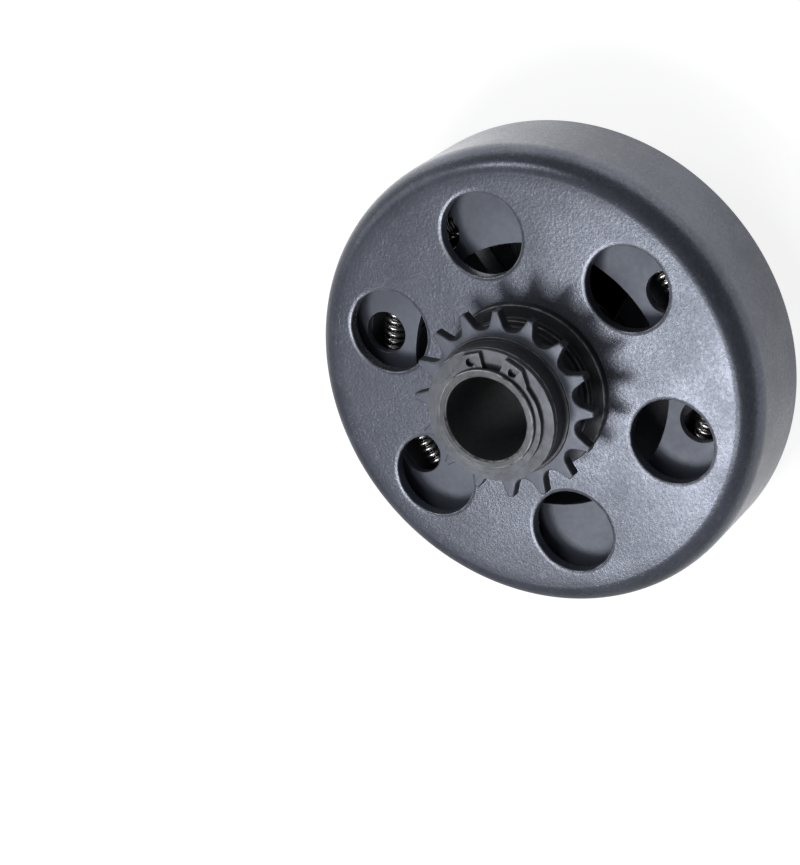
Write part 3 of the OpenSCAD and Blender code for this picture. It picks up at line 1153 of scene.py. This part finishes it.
# Floor and lights.
def make_floor():
    bm = bmesh.new()
    bmesh.ops.create_grid(bm, x_segments=1, y_segments=1, size=3.0)
    mesh = bpy.data.meshes.new("floor")
    bm.to_mesh(mesh)
    bm.free()
    floor = bpy.data.objects.new("floor", mesh)
    bpy.context.scene.collection.objects.link(floor)
    made = bpy.data.materials.new("pale_floor")
    made.use_nodes = True
    tree = made.node_tree
    tree.nodes.clear()
    out = tree.nodes.new("ShaderNodeOutputMaterial")
    seen = put(tree, "ShaderNodeLightPath")
    lit = put(tree, "ShaderNodeBsdfDiffuse", {"Color": (0.32, 0.32, 0.32, 1)})
    plain = put(tree, "ShaderNodeBsdfDiffuse", {"Color": (0.8, 0.8, 0.8, 1)})
    glow = put(tree, "ShaderNodeEmission", {"Color": (1, 1, 1, 1), "Strength": 0.86})
    both = put(tree, "ShaderNodeAddShader", {0: lit.outputs[0], 1: glow.outputs[0]})
    # Painted reflection: for glossy rays the floor glows brighter toward +Y and less toward −X, and
    # its tone darkens toward −X. This paints light and shade into what the drum reflects.
    spot = put(
        tree,
        "ShaderNodeSeparateXYZ",
        {"Vector": tree.nodes.new("ShaderNodeTexCoord").outputs["Object"]},
    )
    bright_side = put(
        tree,
        "ShaderNodeMapRange",
        {"Value": spot.outputs["Y"], "From Min": -0.08, "From Max": 0.1, "To Min": 0.4,
         "To Max": 1.0},
        interpolation_type="SMOOTHSTEP",
    )
    far_side = put(
        tree,
        "ShaderNodeMapRange",
        {"Value": spot.outputs["X"], "From Min": -0.09, "From Max": 0.0, "To Min": 0.3},
        interpolation_type="SMOOTHSTEP",
    )
    level = put(
        tree,
        "ShaderNodeMath",
        {0: bright_side.outputs["Result"], 1: far_side.outputs["Result"]},
        operation="MULTIPLY",
    )
    painted_reflection_glow = put(
        tree,
        "ShaderNodeEmission",
        {"Color": (1, 1, 1, 1), "Strength": level.outputs[0]},
    )
    painted_reflection_shade = put(tree, "ShaderNodeBsdfDiffuse", {"Color": far_side.outputs["Result"]})
    painted_reflection = put(tree, "ShaderNodeAddShader", {0: painted_reflection_shade.outputs[0], 1: painted_reflection_glow.outputs[0]})
    in_gloss = put(
        tree,
        "ShaderNodeMixShader",
        {0: seen.outputs["Is Glossy Ray"], 1: plain.outputs[0], 2: painted_reflection.outputs[0]},
    )
    mixed = put(
        tree,
        "ShaderNodeMixShader",
        {0: seen.outputs["Is Camera Ray"], 1: in_gloss.outputs[0], 2: both.outputs[0]},
    )
    tree.links.new(mixed.outputs[0], out.inputs["Surface"])
    mesh.materials.append(made)


def make_world():
    world = bpy.data.worlds.new("studio")
    bpy.context.scene.world = world
    world.use_nodes = True
    tree = world.node_tree
    tree.nodes.clear()
    out = tree.nodes.new("ShaderNodeOutputWorld")
    seen = put(tree, "ShaderNodeLightPath")
    way = put(
        tree,
        "ShaderNodeSeparateXYZ",
        {"Vector": tree.nodes.new("ShaderNodeTexCoord").outputs["Generated"]},
    )
    level = put(
        tree,
        "ShaderNodeMapRange",
        {"Value": way.outputs["X"], "From Min": -0.3, "From Max": 0.3, "To Min": 0.34,
         "To Max": 0.08},
        interpolation_type="SMOOTHSTEP",
    )
    room = put(
        tree,
        "ShaderNodeBackground",
        {"Color": (0.93, 0.96, 1.0, 1), "Strength": level.outputs["Result"]},
    )
    white = put(tree, "ShaderNodeBackground", {"Color": (1, 1, 1, 1), "Strength": 1.0})
    mixed = put(
        tree,
        "ShaderNodeMixShader",
        {0: seen.outputs["Is Camera Ray"], 1: room.outputs[0], 2: white.outputs[0]},
    )
    tree.links.new(mixed.outputs[0], out.inputs["Surface"])


def make_lamp(name, place, target, width, length, power):
    """A soft panel aimed at a point."""
    data = bpy.data.lights.new(name, "AREA")
    data.shape = "RECTANGLE"
    data.size = width
    data.size_y = length
    data.energy = power
    lamp = bpy.data.objects.new(name, data)
    bpy.context.scene.collection.objects.link(lamp)
    lamp.location = place
    aim = Vector(target) - Vector(place)
    lamp.rotation_euler = aim.to_track_quat("-Z", "Y").to_euler()
    return lamp


def make_camera():
    data = bpy.data.cameras.new("camera")
    data.sensor_fit = "HORIZONTAL"
    data.sensor_width = 36.0
    data.lens = 118.06
    data.clip_start = 0.01
    data.clip_end = 20.0
    camera = bpy.data.objects.new("camera", data)
    bpy.context.scene.collection.objects.link(camera)
    right = (0.569862, -0.673629, -0.470617)
    up = (0.570137, 0.736553, -0.363913)
    back = (0.591777, -0.060936, 0.803796)
    place = (0.334055, -0.024956, 0.542218)
    camera.matrix_world = Matrix(
        [[right[i], up[i], back[i], place[i]] for i in range(3)] + [[0, 0, 0, 1]]
    )
    bpy.context.scene.camera = camera


make_floor()
make_world()
make_lamp("softbox", (-0.3, -0.065, 0.675), (0, 0, 0.035), 0.2, 0.2, 1.65)
make_lamp("side_fill", (-0.3, 0.6, 0.35), (0, 0, 0.03), 0.4, 0.4, 0.4)
make_lamp("far_wing", (0.08, 0.5, 0.5), (0, 0, 0.03), 0.25, 0.15, 0.6)
make_lamp("near_wing", (-0.12, -0.28, 0.64), (0, 0, 0.03), 0.2, 0.12, 0.4)
make_lamp("overhead", (-0.08, -0.12, 0.68), (-0.05, 0, 0.03), 0.16, 0.3, 0.3)
make_camera()
bpy.context.scene.view_settings.view_transform = "Standard"
